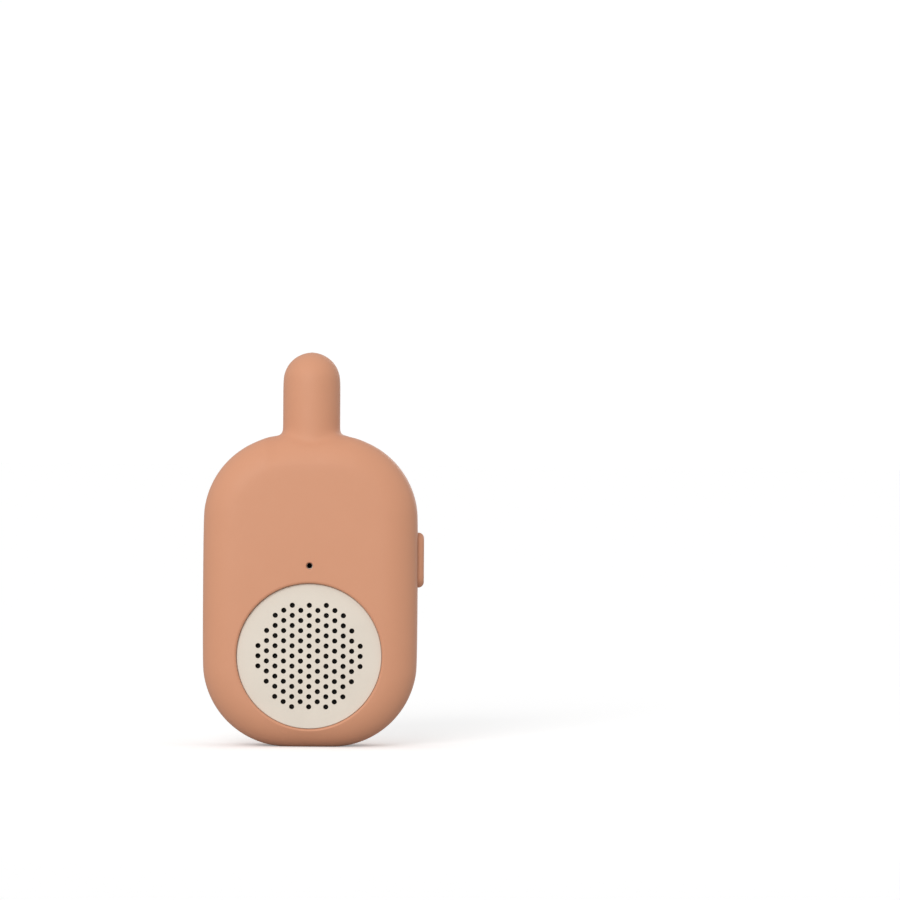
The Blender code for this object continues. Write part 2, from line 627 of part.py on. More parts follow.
board_block("radio_chip", CHIP_BLACK, -10.5, 72.0, 4.5, 3.5, 1.7)
board_block("audio_chip", CHIP_BLACK, 11.0, 60.5, 3.2, 2.6, 1.6)
board_block("radio_crystal", NICKEL, -11.0, 84.5, 5.4, 1.9, 3.4)
board_block("tuning_coil_can", STEEL, 0.0, 88.5, 3.6, 3.6, 4.4)
for number, z in enumerate((72.5, 80.5), 1):
    piece("capacitor_{}".format(number), CHIP_BLACK,
          rod(2.5, "y", (11.5, z), ON_BOARD - 4.4, ON_BOARD))
piece("microphone", STEEL, rod(3.0, "y", (0, MIC_Z), -9.2, ON_BOARD))
piece("microphone_boot", RUBBER,
      turned([(4, -6.2), (4, -10.6), (1.2, -10.6), (1.2, -9.6), (3.3, -9.6), (3.3, -6.2)],
             "y", (0, MIC_Z)))

# ---------------------------------------------------------------- antenna

CORE_LOW, CORE_HIGH = 102.8, 128.0
COIL_RADIUS, COIL_LOW, COIL_HIGH, COIL_TURNS = 3.2, 106.0, 126.0, 6

piece("antenna_core", FERRITE, rod(2.4, "z", (0, 0), CORE_LOW, CORE_HIGH))
coil = []
for t in [0] + spread(0, 1, 9 * COIL_TURNS):
    turn = 2 * math.pi * COIL_TURNS * t
    coil.append((COIL_RADIUS * math.cos(turn), COIL_RADIUS * math.sin(turn),
                 COIL_LOW + (COIL_HIGH - COIL_LOW) * t))
round_wire("antenna_coil", COPPER, coil, 0.4)

# ---------------------------------------------------------------- wires

WIRE_RADIUS = 0.5
BY_BOARD = BOARD_BACK + WIRE_RADIUS + 0.2      # a wire soldered to the back of the board


def lead(name, finish, *points):
    round_wire(name, finish, smooth_route(points, 2.5), WIRE_RADIUS)


lead("antenna_lead", RED_LEAD, (3, BY_BOARD, 94), (3, -3.2, 98), (3.2, -2, 101.5),
     (3.3, -0.9, 104.6))
for side, colour, finish in ((-1, "black", BLACK_LEAD), (1, "red", RED_LEAD)):
    lead("speaker_lead_" + colour, finish, (4 * side, -4.0, 44.5), (5 * side, -3.3, 49),
         (8 * side, BY_BOARD, 56.5))
    lead("switch_lead_" + colour, finish, (2.5 * side, 3.3, SWITCH_Z), (6 * side, 3.3, 18.6),
         (13 * side, 4, 23), (19.5 * side, 3.5, 34), (22.5 * side, 1.2, 44),
         (22.5 * side, -1.4, 51), (21 * side, BY_BOARD, 57))
lead("battery_lead_black", BLACK_LEAD, (-CELL_PITCH, 1.2, 39.6), (-11.8, -1.5, 39.6),
     (-12.5, -2.9, 43), (-13, -3.1, 50), (-13, BY_BOARD, 56.5))
lead("battery_lead_red", RED_LEAD, (CELL_PITCH, 1.2, 95.8), (11.6, -1, 96), (12, -2.9, 95.2),
     (12, BY_BOARD, 91))
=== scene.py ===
"""The looks of a toy walkie talkie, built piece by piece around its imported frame."""
import math

import bmesh
import bpy
from mathutils import Matrix, Vector


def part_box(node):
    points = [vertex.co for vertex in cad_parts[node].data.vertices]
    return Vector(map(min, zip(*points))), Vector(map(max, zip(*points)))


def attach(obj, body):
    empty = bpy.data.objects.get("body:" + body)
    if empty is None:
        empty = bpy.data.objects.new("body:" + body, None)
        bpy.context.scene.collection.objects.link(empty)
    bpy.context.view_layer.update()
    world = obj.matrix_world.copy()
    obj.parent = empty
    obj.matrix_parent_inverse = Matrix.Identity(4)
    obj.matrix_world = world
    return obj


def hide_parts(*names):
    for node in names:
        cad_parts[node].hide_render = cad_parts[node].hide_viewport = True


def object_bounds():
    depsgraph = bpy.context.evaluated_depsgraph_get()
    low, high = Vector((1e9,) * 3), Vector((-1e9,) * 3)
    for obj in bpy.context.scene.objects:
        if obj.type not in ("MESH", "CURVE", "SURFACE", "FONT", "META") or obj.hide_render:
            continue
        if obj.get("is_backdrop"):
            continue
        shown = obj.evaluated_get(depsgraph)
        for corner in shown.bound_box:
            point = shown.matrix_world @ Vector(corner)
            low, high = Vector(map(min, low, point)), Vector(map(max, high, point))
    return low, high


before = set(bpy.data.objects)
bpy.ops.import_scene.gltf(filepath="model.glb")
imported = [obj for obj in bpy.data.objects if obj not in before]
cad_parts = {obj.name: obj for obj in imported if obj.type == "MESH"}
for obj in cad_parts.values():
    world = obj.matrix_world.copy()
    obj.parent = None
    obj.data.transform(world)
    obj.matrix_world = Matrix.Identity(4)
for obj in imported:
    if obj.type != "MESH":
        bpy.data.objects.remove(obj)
cad_low, cad_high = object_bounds()
MM = 0.001

# ---------------------------------------------------------------- speaker
# A 40 mm full-range speaker: a pressed steel basket, a pulp cone glued into it at the rim, a
# sintered ferrite magnet behind, and a die-cut rubber gasket in front. The casing's seat holds it
# by the rim, and a disc of black cloth keeps dust out of the cone.


def take(*pieces):
    """Select these objects and nothing else, the last one active."""
    active = bpy.context.view_layer.objects.active
    if active and active.mode != "OBJECT":
        bpy.ops.object.mode_set(mode="OBJECT")
    bpy.ops.object.select_all(action="DESELECT")
    for piece in pieces:
        piece.select_set(True)
        bpy.context.view_layer.objects.active = piece
    return pieces[-1] if pieces else None


def edit(piece):
    take(piece)
    bpy.ops.object.mode_set(mode="EDIT")


def pick(kind, test=lambda item: True):
    """In edit mode, select the vertices, edges or faces that pass a test."""
    bpy.ops.mesh.select_mode(type=kind)
    bpy.ops.mesh.select_all(action="DESELECT")
    shape = bmesh.from_edit_mesh(bpy.context.object.data)
    for item in {"VERT": shape.verts, "EDGE": shape.edges, "FACE": shape.faces}[kind]:
        if test(item):
            item.select_set(True)
    shape.select_flush_mode()
    bmesh.update_edit_mesh(bpy.context.object.data)


def middle(item):
    return sum((vertex.co for vertex in item.verts), Vector()) / len(item.verts)


def level(item, axis, height):
    """Whether all of an edge or face lies at one height on an axis."""
    return all(abs(vertex.co["xyz".index(axis)] - height) < 1e-7 for vertex in item.verts)


def finish(piece, name, material, angle=32):
    """Put the piece's place into its mesh, smooth its round faces and give it its finish."""
    take(piece)
    bpy.ops.object.transform_apply(location=True, rotation=True, scale=True)
    bpy.ops.object.shade_smooth_by_angle(angle=math.radians(angle))
    piece.name = piece.data.name = name
    piece.data.materials.clear()
    piece.data.materials.append(material)
    return piece


def spun(profile, centre, axis, steps=64):
    """A turned piece: a profile of (radius, height) points in mm, spun about an axis."""
    axis = Vector(axis)
    out = Vector((0, 0, 1)) if axis.z == 0 else Vector((1, 0, 0))
    centre = Vector(centre) * MM
    points = [centre + (out * radius + axis * height) * MM for radius, height in profile]
    mesh = bpy.data.meshes.new("spun")
    mesh.from_pydata(points, [(k, k + 1) for k in range(len(points) - 1)], [])
    piece = bpy.data.objects.new("spun", mesh)
    bpy.context.collection.objects.link(piece)
    edit(piece)
    pick("VERT")
    bpy.ops.mesh.spin(steps=steps, angle=2 * math.pi, center=centre, axis=axis)
    pick("VERT")
    bpy.ops.mesh.remove_doubles(threshold=1e-6)
    bpy.ops.mesh.normals_make_consistent(inside=False)
    return take(piece)


def use(piece, kind, **settings):
    """Add a modifier and apply it."""
    take(piece)
    modifier = piece.modifiers.new(kind.lower(), kind)
    for key, value in settings.items():
        setattr(modifier, key, value)
    bpy.ops.object.modifier_apply(modifier=modifier.name)


def combine(piece, operation, *tools):
    """Join tools to a piece or cut them out of it, and remove the tools."""
    for tool in tools:
        use(piece, "BOOLEAN", operation=operation, solver="EXACT", object=tool)
        bpy.data.objects.remove(tool)
    return piece


def colour(red, green, blue):
    """An sRGB colour out of 255 as the linear one that shaders take."""
    channels = [value / 255 for value in (red, green, blue)]
    return [c / 12.92 if c <= 0.04045 else ((c + 0.055) / 1.055) ** 2.4 for c in channels] + [1]


def new_material(name, roughness=0.5, metallic=0.0):
    """A material with its shader, and a function that adds nodes to it."""
    material = bpy.data.materials.new(name)
    material.use_nodes = True
    tree = material.node_tree
    shader = tree.nodes["Principled BSDF"]
    shader.inputs["Roughness"].default_value = roughness
    shader.inputs["Metallic"].default_value = metallic

    def node(kind, inputs=(), **settings):
        made = tree.nodes.new("ShaderNode" + kind)
        for key, value in settings.items():
            setattr(made, key, value)
        for key, value in dict(inputs).items():
            if isinstance(value, bpy.types.NodeSocket):
                tree.links.new(value, made.inputs[key])
            else:
                made.inputs[key].default_value = value
        return made

    def link(output, key):
        tree.links.new(output, shader.inputs[key])

    return material, shader, node, link


def mottled(name, dark, light, patch, grain, roughness, relief, metallic=0.0):
    """A finish that drifts between two colours over patches, with a fine grain in relief.

    patch and grain are the sizes of the two patterns and relief is the grain's depth, in mm.
    """
    material, shader, node, link = new_material(name, metallic=metallic)
    place = node("TexCoord").outputs["Object"]
    drift = node("TexNoise", {"Vector": place, "Scale": 1000 / patch, "Detail": 3.0})
    tint = node("ValToRGB", {"Fac": drift.outputs["Fac"]})
    tint.color_ramp.elements[0].position, tint.color_ramp.elements[1].position = 0.3, 0.7
    tint.color_ramp.elements[0].color, tint.color_ramp.elements[1].color = dark, light
    link(tint.outputs["Color"], "Base Color")
    speck = node("TexNoise", {"Vector": place, "Scale": 1000 / grain, "Detail": 2.0})
    gloss = node("MapRange", {"Value": speck.outputs["Fac"], "To Min": roughness - 0.06,
                              "To Max": roughness + 0.06})
    link(gloss.outputs["Result"], "Roughness")
    bump = node("Bump", {"Height": speck.outputs["Fac"], "Strength": 1.0, "Distance": relief * MM})
    link(bump.outputs["Normal"], "Normal")
    return material


speaker_low, speaker_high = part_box("speaker_basket")
SPEAKER = (0, 0, (speaker_low.z + speaker_high.z) / 2 / MM)
BACKWARDS = (0, 1, 0)

pressed_steel = mottled("pressed_steel", colour(150, 152, 154), colour(176, 178, 180), 6, 0.25,
                        0.38, 0.004, 1.0)
basket = spun([(20, -7.8), (20, -7.1), (19.8, -7), (17.6, -7), (17, -6.6), (10.8, -2.7),
               (10.2, -2.4), (3, -2.4), (3, -3.2), (9.9, -3.2), (10.2, -3.4), (16.9, -7.8),
               (20, -7.8)], SPEAKER, BACKWARDS)
finish(basket, "basket", pressed_steel)
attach(basket, "root")
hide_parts("speaker_basket")

pulp = mottled("cone_pulp", colour(34, 32, 30), colour(50, 47, 44), 2.5, 0.35, 0.9, 0.03)
cone = spun([(0, -6.6), (1.6, -6.5), (3, -6.2), (4.2, -5.5), (4.6, -5.4), (12.6, -7.3),
             (13.2, -7.75), (14.2, -7.9), (15.2, -7.7), (15.8, -7.4), (15.2, -7.3), (14.2, -7.5),
             (13.4, -7.3), (12.8, -6.9), (4.5, -4.9), (0, -4.9)], SPEAKER, BACKWARDS, 96)
finish(cone, "cone", pulp, 50)
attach(cone, "root")
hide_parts("speaker_cone")

sintered = mottled("sintered_ferrite", colour(48, 46, 45), colour(66, 64, 62), 1.5, 0.2, 0.62,
                   0.012)
magnet = spun([(0, -2.1), (9.2, -2.1), (9.5, -1.8), (9.5, 2), (9.2, 2.3), (0, 2.3)], SPEAKER,
              BACKWARDS)
finish(magnet, "magnet", sintered)
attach(magnet, "root")
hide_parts("speaker_magnet")

black_rubber = mottled("black_rubber", colour(30, 29, 28), colour(42, 41, 40), 3, 0.3, 0.8, 0.01)
gasket = spun([(17.6, -8.9), (19.9, -8.9), (19.9, -8.1), (17.6, -8.1), (17.6, -8.9)], SPEAKER,
              BACKWARDS, 96)
use(gasket, "BEVEL", width=0.15 * MM, segments=2)
finish(gasket, "gasket", black_rubber)
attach(gasket, "root")
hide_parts("speaker_gasket")


def woven(name, dark, light, thread):
    """A plain weave: two crossed waves of threads, each thread's width in mm."""
    material, shader, node, link = new_material(name, roughness=0.95)
    place = node("TexCoord").outputs["Object"]
    waves = [node("TexWave", {"Vector": place, "Scale": 1000 / thread / 20},
                  bands_direction=direction).outputs["Fac"] for direction in ("X", "Z")]
    weave = node("Math", {0: waves[0], 1: waves[1]}, operation="MULTIPLY")
    tint = node("ValToRGB", {"Fac": weave.outputs[0]})
    tint.color_ramp.elements[0].color, tint.color_ramp.elements[1].color = dark, light
    link(tint.outputs["Color"], "Base Color")
    bump = node("Bump", {"Height": weave.outputs[0], "Strength": 1.0, "Distance": 0.05 * MM})
    link(bump.outputs["Normal"], "Normal")
    return material


dust_weave = woven("dust_cloth_weave", colour(16, 15, 15), colour(40, 38, 37), 0.35)
dust_cloth = spun([(0, -11.45), (18.6, -11.45), (18.8, -11.35), (18.8, -11.2), (18.6, -11.1),
                   (0, -11.1)], SPEAKER, BACKWARDS)
finish(dust_cloth, "dust_cloth", dust_weave)
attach(dust_cloth, "root")
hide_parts("speaker_cloth")

# ---------------------------------------------------------------- speaker grille
# A round cream plate moulded in ABS, with 109 countersunk sound holes in staggered columns and a
# rounded rim. It drops into the casing's counterbore and is glued there, so that the plate shows
# through the sleeve's round window.

HOLE_COLUMN, HOLE_PITCH, HOLE_FIELD = 2.905, 3.46, 18.6
HOLE_RADIUS, HOLE_COUNTERSINK = 0.875, 0.09
PLATE_RADIUS = 24.75
plate_low, plate_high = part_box("speaker_grille")
plate_front, plate_back = plate_low.y / MM, plate_high.y / MM

moulded_cream = mottled("moulded_cream", colour(222, 212, 198), colour(227, 217, 203), 14, 0.3,
                        0.42, 0.006)
plate = spun([(0, plate_front), (PLATE_RADIUS - 0.3, plate_front),
              (PLATE_RADIUS - 0.19, plate_front + 0.02), (PLATE_RADIUS - 0.09, plate_front + 0.09),
              (PLATE_RADIUS - 0.02, plate_front + 0.19), (PLATE_RADIUS, plate_front + 0.3),
              (PLATE_RADIUS, plate_back), (0, plate_back)], SPEAKER, BACKWARDS, 128)
drill = spun([(0, plate_front - 0.5), (HOLE_RADIUS + HOLE_COUNTERSINK, plate_front - 0.5),
              (HOLE_RADIUS + HOLE_COUNTERSINK, plate_front + 0.01),
              (HOLE_RADIUS + 0.03, plate_front + 0.04), (HOLE_RADIUS, plate_front + 0.13),
              (HOLE_RADIUS, plate_back + 0.5), (0, plate_back + 0.5)], SPEAKER, BACKWARDS, 20)
drills = []
for column in range(-6, 7):
    for row in range(-7, 7):
        x, z = column * HOLE_COLUMN, (row + 0.5 * (column % 2)) * HOLE_PITCH
        if math.hypot(x, z) < HOLE_FIELD:
            take(drill)
            bpy.ops.object.duplicate()
            bpy.ops.transform.translate(value=(x * MM, 0, z * MM))
            drills.append(bpy.context.object)
take(*drills)
bpy.ops.object.join()
all_drills = bpy.context.object
bpy.data.objects.remove(drill)
bpy.ops.object.transform_apply(location=True, rotation=True, scale=True)
combine(plate, "DIFFERENCE", all_drills)
finish(plate, "grille_plate", moulded_cream, 40)
use(plate, "WEIGHTED_NORMAL", keep_sharp=True)
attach(plate, "root")
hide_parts("speaker_grille")

# ---------------------------------------------------------------- casing halves
# Two ABS halves, moulded in cream, that meet in the middle and are held by four screws from
# behind. The front half has the grille's seat and the microphone's hole, the back half has the
# battery compartment.


def smoothed(node, name, material, angle=25):
    """A copy of a frame node, merged and smoothed, which is shown in its place."""
    take(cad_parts[node])
    bpy.ops.object.duplicate()
    copy = bpy.context.object
    for key_name in list(copy.keys()):
        del copy[key_name]
    edit(copy)
    pick("VERT")
    bpy.ops.mesh.remove_doubles(threshold=1e-6)
    finish(copy, name, material, angle)
    use(copy, "WEIGHTED_NORMAL", keep_sharp=True)
    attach(copy, "root")
    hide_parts(node)


for side in ("front", "back"):
    smoothed(side + "_casing", side + "_half", moulded_cream)

# ---------------------------------------------------------------- circuit board
# A green fibreglass board with its parts soldered to the front: two chips, a radio crystal, a
# tuning coil in its can, two electrolytic capacitors and the microphone in a rubber boot.


def cuboid(centre, size):
    """A plain box about its centre, both in metres."""
    take()
    bpy.ops.mesh.primitive_cube_add(size=1, location=centre)
    made = bpy.context.object
    made.scale = size
    take(made)
    bpy.ops.object.transform_apply(location=True, rotation=True, scale=True)
    return made


def block(low, high, round_off, segments=3):
    """A box between two corners, in mm, with rounded edges."""
    low, high = Vector(low) * MM, Vector(high) * MM
    made = cuboid((low + high) / 2, high - low)
    use(made, "BEVEL", width=round_off * MM, segments=segments)
    return made


def same_box(node, round_off):
    low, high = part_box(node)
    return block(low / MM, high / MM, round_off)


solder_mask = mottled("solder_mask", colour(22, 92, 52), colour(34, 112, 64), 1.1, 0.5, 0.35,
                      0.02)
smoothed("main_board", "green_board", solder_mask)
epoxy = mottled("black_epoxy", colour(24, 24, 25), colour(34, 34, 36), 2, 0.25, 0.55, 0.008)
nickel_plate = mottled("nickel_plate", colour(184, 181, 172), colour(204, 200, 190), 4, 0.4,
                       0.26, 0.003, 1.0)
PIN_PITCH = 1
for node, name in (("radio_chip", "chip_radio"), ("audio_chip", "chip_audio")):
    chip = same_box(node, 0.2)
    low, high = (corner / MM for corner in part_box(node))
    pins = []
    for side, x in ((-1, low.x), (1, high.x)):
        for step in range(int((high.z - low.z - 1) / PIN_PITCH)):
            z = low.z + 1.1 + step * PIN_PITCH
            pin = block((x - 0.15, high.y - 0.75, z - 0.18), (x + 0.15, high.y + 0.15, z + 0.18),
                        0.05, 1)
            foot = block((min(x, x + side * 0.7), high.y, z - 0.18),
                         (max(x, x + side * 0.7), high.y + 0.15, z + 0.18), 0.05, 1)
            pins += [pin, foot]
    take(*pins)
    bpy.ops.object.join()
    legs = finish(bpy.context.object, name + "_legs", nickel_plate)
    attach(legs, "root")
    finish(chip, name, epoxy)
    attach(chip, "root")
    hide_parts(node)

crystal_can = same_box("radio_crystal", 0.9)
finish(crystal_can, "crystal_can", nickel_plate)
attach(crystal_can, "root")
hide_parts("radio_crystal")

coil_shield = same_box("tuning_coil_can", 0.4)
edit(coil_shield)
low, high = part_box("tuning_coil_can")
pick("FACE", lambda face: level(face, "y", low.y))
bpy.ops.mesh.inset(thickness=1.3 * MM, depth=-0.5 * MM)
finish(coil_shield, "coil_shield", pressed_steel)
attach(coil_shield, "root")
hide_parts("tuning_coil_can")

can_sleeve = mottled("capacitor_sleeve", colour(30, 32, 44), colour(38, 40, 54), 3, 0.3, 0.3,
                     0.004)
for number in (1, 2):
    low, high = (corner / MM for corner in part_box("capacitor_{}".format(number)))
    centre = ((low.x + high.x) / 2, 0, (low.z + high.z) / 2)
    can = spun([(0, low.y + 0.15), (1.8, low.y + 0.15), (1.95, low.y), (2.25, low.y),
                (2.45, low.y + 0.2), (2.5, high.y - 1.1), (2.3, high.y - 0.8), (2.5, high.y - 0.5),
                (2.5, high.y), (0, high.y)], centre, BACKWARDS, 32)
    finish(can, "can_{}".format(number), can_sleeve)
    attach(can, "root")
    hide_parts("capacitor_{}".format(number))

MIC = (0, 0, (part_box("microphone")[0].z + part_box("microphone")[1].z) / 2 / MM)
capsule = spun([(0, -9.0), (0.5, -9.0), (0.55, -9.2), (2.8, -9.2), (3, -9.0), (3, -5.8),
                (2.8, -5.6), (0, -5.6)], MIC, BACKWARDS, 40)
finish(capsule, "mic_capsule", pressed_steel)
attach(capsule, "root")
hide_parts("microphone")
felt = spun([(0, -9.5), (2.4, -9.5), (2.6, -9.4), (2.6, -9.2), (0, -9.2)], MIC, BACKWARDS, 32)
finish(felt, "mic_felt", dust_weave)
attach(felt, "root")
boot = spun([(4, -6.4), (4, -10.2), (3.7, -10.6), (1.4, -10.6), (1.2, -10.4), (1.2, -9.6),
             (3.3, -9.6), (3.3, -6.2), (3.8, -6.2), (4, -6.4)], MIC, BACKWARDS, 40)
finish(boot, "mic_boot", black_rubber)
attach(boot, "root")
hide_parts("microphone_boot")

# ---------------------------------------------------------------- antenna
# A ferrite rod wound with enamelled copper wire. It stands in the casing's antenna tube, and a
# short lead joins it to the board.


def wire(name, points, radius, material, node):
    """A round wire through points in mm, bent smoothly, in place of a frame node."""
    curve = bpy.data.curves.new(name, "CURVE")
    curve.dimensions = "3D"
    curve.bevel_depth = radius * MM
    curve.bevel_resolution = 3
    curve.resolution_u = 6
    curve.use_fill_caps = True
    spline = curve.splines.new("NURBS")
    spline.points.add(len(points) - 1)
    for point, place in zip(spline.points, points):
        point.co = (place[0] * MM, place[1] * MM, place[2] * MM, 1)
    spline.use_endpoint_u = True
    spline.order_u = 4
    made = bpy.data.objects.new(name, curve)
    bpy.context.collection.objects.link(made)
    take(made)
    bpy.ops.object.convert(target="MESH")
    made = bpy.context.object
    edit(made)
    pick("VERT")
    bpy.ops.mesh.remove_doubles(threshold=1e-6)
    bpy.ops.mesh.normals_make_consistent(inside=False)
    finish(made, name, material, 60)
    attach(made, "root")
    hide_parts(node)


CORE_LOW, CORE_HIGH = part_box("antenna_core")[0].z / MM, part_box("antenna_core")[1].z / MM
ferrite_rod = spun([(0, CORE_LOW), (2.1, CORE_LOW), (2.4, CORE_LOW + 0.3),
                    (2.4, CORE_HIGH - 0.3), (2.1, CORE_HIGH), (0, CORE_HIGH)], (0, 0, 0),
                   (0, 0, 1), 40)
finish(ferrite_rod, "ferrite_rod", sintered)
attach(ferrite_rod, "root")
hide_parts("antenna_core")

enamel = mottled("copper_enamel", colour(176, 92, 44), colour(196, 108, 54), 4, 0.3, 0.25, 0.003,
                 1.0)
WINDING_RADIUS, WINDING_LOW, WINDING_LENGTH, WINDING_TURNS = 3.2, 106, 20, 6
winding = []
for step in range(WINDING_TURNS * 16 + 1):
    turn = 2 * math.pi * step / 16
    winding.append((WINDING_RADIUS * math.cos(turn), WINDING_RADIUS * math.sin(turn),
                    WINDING_LOW + WINDING_LENGTH * step / (WINDING_TURNS * 16)))
wire("copper_winding", winding, 0.4, enamel, "antenna_coil")

# ---------------------------------------------------------------- leads
# Stranded hook-up wire in red and black PVC, soldered to the back of the board.

red_pvc = mottled("red_pvc", colour(168, 34, 28), colour(184, 42, 34), 3, 0.3, 0.4, 0.004)
black_pvc = mottled("black_pvc", colour(26, 26, 27), colour(36, 36, 37), 3, 0.3, 0.4, 0.004)
BOARD_Y, WIRE_RADIUS = -3.5, 0.5
wire("antenna_wire", [(3, BOARD_Y, 94), (3, -3.2, 98), (3.2, -2, 101.5), (3.3, -0.9, 104.6)],
     WIRE_RADIUS, red_pvc, "antenna_lead")
for side, shade, pvc in ((-1, "black", black_pvc), (1, "red", red_pvc)):
    wire("speaker_wire_" + shade, [(4 * side, -4.0, 44.5), (5 * side, -3.3, 49),
                                   (8 * side, BOARD_Y, 56.5)], WIRE_RADIUS, pvc,
         "speaker_lead_" + shade)
    wire("switch_wire_" + shade,
         [(2.5 * side, 3.3, 19), (6 * side, 3.3, 18.6), (13 * side, 4, 23),
          (19.5 * side, 3.5, 34), (22.5 * side, 1.2, 44), (22.5 * side, -1.4, 51),
          (21 * side, BOARD_Y, 57)], WIRE_RADIUS, pvc, "switch_lead_" + shade)
wire("battery_wire_black", [(-11.1, 1.2, 39.6), (-11.8, -1.5, 39.6), (-12.5, -2.9, 43),
                            (-13, -3.1, 50), (-13, BOARD_Y, 56.5)], WIRE_RADIUS, black_pvc,
     "battery_lead_black")
wire("battery_wire_red", [(11.1, 1.2, 95.8), (11.6, -1, 96), (12, -2.9, 95.2),
                          (12, BOARD_Y, 91)], WIRE_RADIUS, red_pvc, "battery_lead_red")

# ---------------------------------------------------------------- talk switch
# A tactile switch on the board's edge: a black moulded body with a round bore, and a cream
# plunger in it that the talk button's stub pushes in.

STUB_Y = -2.4
button_low, button_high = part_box("ptt_button")
button_z = (button_low.z + button_high.z) / 2
low, high = (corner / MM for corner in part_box("ptt_switch_body"))
switch_base = block(low, high, 0.25)
drill = spun([(0, 23.9), (1.3, 23.9), (1.3, 28), (0, 28)], (0, STUB_Y, button_z / MM), (1, 0, 0),
             40)
combine(switch_base, "DIFFERENCE", drill)
finish(switch_base, "talk_switch_base", epoxy)
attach(switch_base, "root")
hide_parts("ptt_switch_body")
plunger_low, plunger_high = (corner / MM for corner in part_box("ptt_switch_plunger"))
plunger = spun([(0, plunger_low.x), (0.8, plunger_low.x), (1, plunger_low.x + 0.2),
                (1, plunger_high.x - 0.3), (0.75, plunger_high.x), (0, plunger_high.x)],
               (0, STUB_Y, button_z / MM), (1, 0, 0), 32)
finish(plunger, "talk_switch_plunger", moulded_cream)
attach(plunger, "ptt_plunger_body")
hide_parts("ptt_switch_plunger")

# ---------------------------------------------------------------- power switch
# A slide switch behind the casing's lower window, and the cream knob that is pressed onto its
# lever. Three grooves across the knob's face give a fingertip its grip.

KNOB_Z, KNOB_THICKNESS, KNOB_CORNER, KNOB_EDGE = 19, 1.2, 0.9, 0.35
GROOVE_PITCH, GROOVE_HALF = 1.5, 0.28
low, high = (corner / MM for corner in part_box("power_switch_body"))
slide_case = block(low, high, 0.3)
cavity = cuboid((0, (high.y + 0.5) * MM, KNOB_Z * MM), (6.8 * MM, 3 * MM, 2.2 * MM))
combine(slide_case, "DIFFERENCE", cavity)
finish(slide_case, "slide_switch_case", epoxy)
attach(slide_case, "root")
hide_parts("power_switch_body")
zinc = mottled("zinc_plate", colour(168, 170, 174), colour(192, 193, 196), 5, 0.3, 0.32, 0.003,
               1.0)
lever = same_box("power_switch_lever", 0.15)
finish(lever, "slide_switch_lever", zinc)
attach(lever, "power_knob_body")
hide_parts("power_switch_lever")

low, high = (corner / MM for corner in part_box("power_switch_knob"))
knob_x = (low.x + high.x) / 2
knob = cuboid((knob_x * MM, 13.6 * MM, KNOB_Z * MM),
              ((high.x - low.x) * MM, KNOB_THICKNESS * MM, (high.z - low.z) * MM))
edit(knob)
pick("EDGE", lambda edge: abs(edge.verts[0].co.y - edge.verts[1].co.y) > MM)
bpy.ops.mesh.bevel(offset=KNOB_CORNER * MM, segments=6, affect="EDGES")
pick("EDGE", lambda edge: level(edge, "y", high.y * MM))
bpy.ops.mesh.bevel(offset=KNOB_EDGE * MM, segments=4, affect="EDGES")
for x in (knob_x - GROOVE_PITCH, knob_x, knob_x + GROOVE_PITCH):
    groove = block((x - GROOVE_HALF, 13.85, KNOB_Z - 1.8), (x + GROOVE_HALF, 14.8, KNOB_Z + 1.8),
                   0.1, 2)
    combine(knob, "DIFFERENCE", groove)
stem = block((knob_x - 1.2, low.y, 17.8), (knob_x + 1.2, 13.3, 20.2), 0.15, 2)
combine(knob, "UNION", stem)
finish(knob, "power_knob", moulded_cream)
use(knob, "WEIGHTED_NORMAL", keep_sharp=True)
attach(knob, "power_knob_body")
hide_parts("power_switch_knob")

# ---------------------------------------------------------------- battery contacts
# Nickel-plated plates at both ends of the compartment, which join the cells in series, and a
# conical spring under each cell's flat end.

for node, name in (("battery_link_bottom", "link_lower"), ("battery_link_top", "link_upper"),
                   ("battery_terminal_negative", "terminal_minus"),
                   ("battery_terminal_positive", "terminal_plus")):
    smoothed(node, name, nickel_plate)
SPRING_TURNS, SPRING_WIRE, SPRING_WIDE, SPRING_TAPER = 3, 0.28, 3.3, 1.6
for number in (1, 2, 3):
    low, high = (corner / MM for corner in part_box("battery_{}".format(number)))
    spring_low, spring_high = (corner / MM for corner in
                               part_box("battery_spring_{}".format(number)))
    x, y = (low.x + high.x) / 2, (low.y + high.y) / 2
    helix = []
    for step in range(SPRING_TURNS * 14 + 1):
        t = step / (SPRING_TURNS * 14)
        turn, across = 2 * math.pi * SPRING_TURNS * t, SPRING_WIDE - SPRING_TAPER * t
        z = spring_low.z + 0.3 + (spring_high.z - spring_low.z - 0.6) * t
        if number == 2:
            z = spring_low.z + spring_high.z - z
        helix.append((x + across * math.cos(turn), y + across * math.sin(turn), z))
    wire("contact_spring_{}".format(number), helix, SPRING_WIRE, nickel_plate,
         "battery_spring_{}".format(number))

# ---------------------------------------------------------------- screws
# Steel pan-head screws with a cross recess and a coarse thread for plastic: four hold the casing
# and two hold the board. One is modelled and the others are copies.

THREAD_PITCH = 0.9


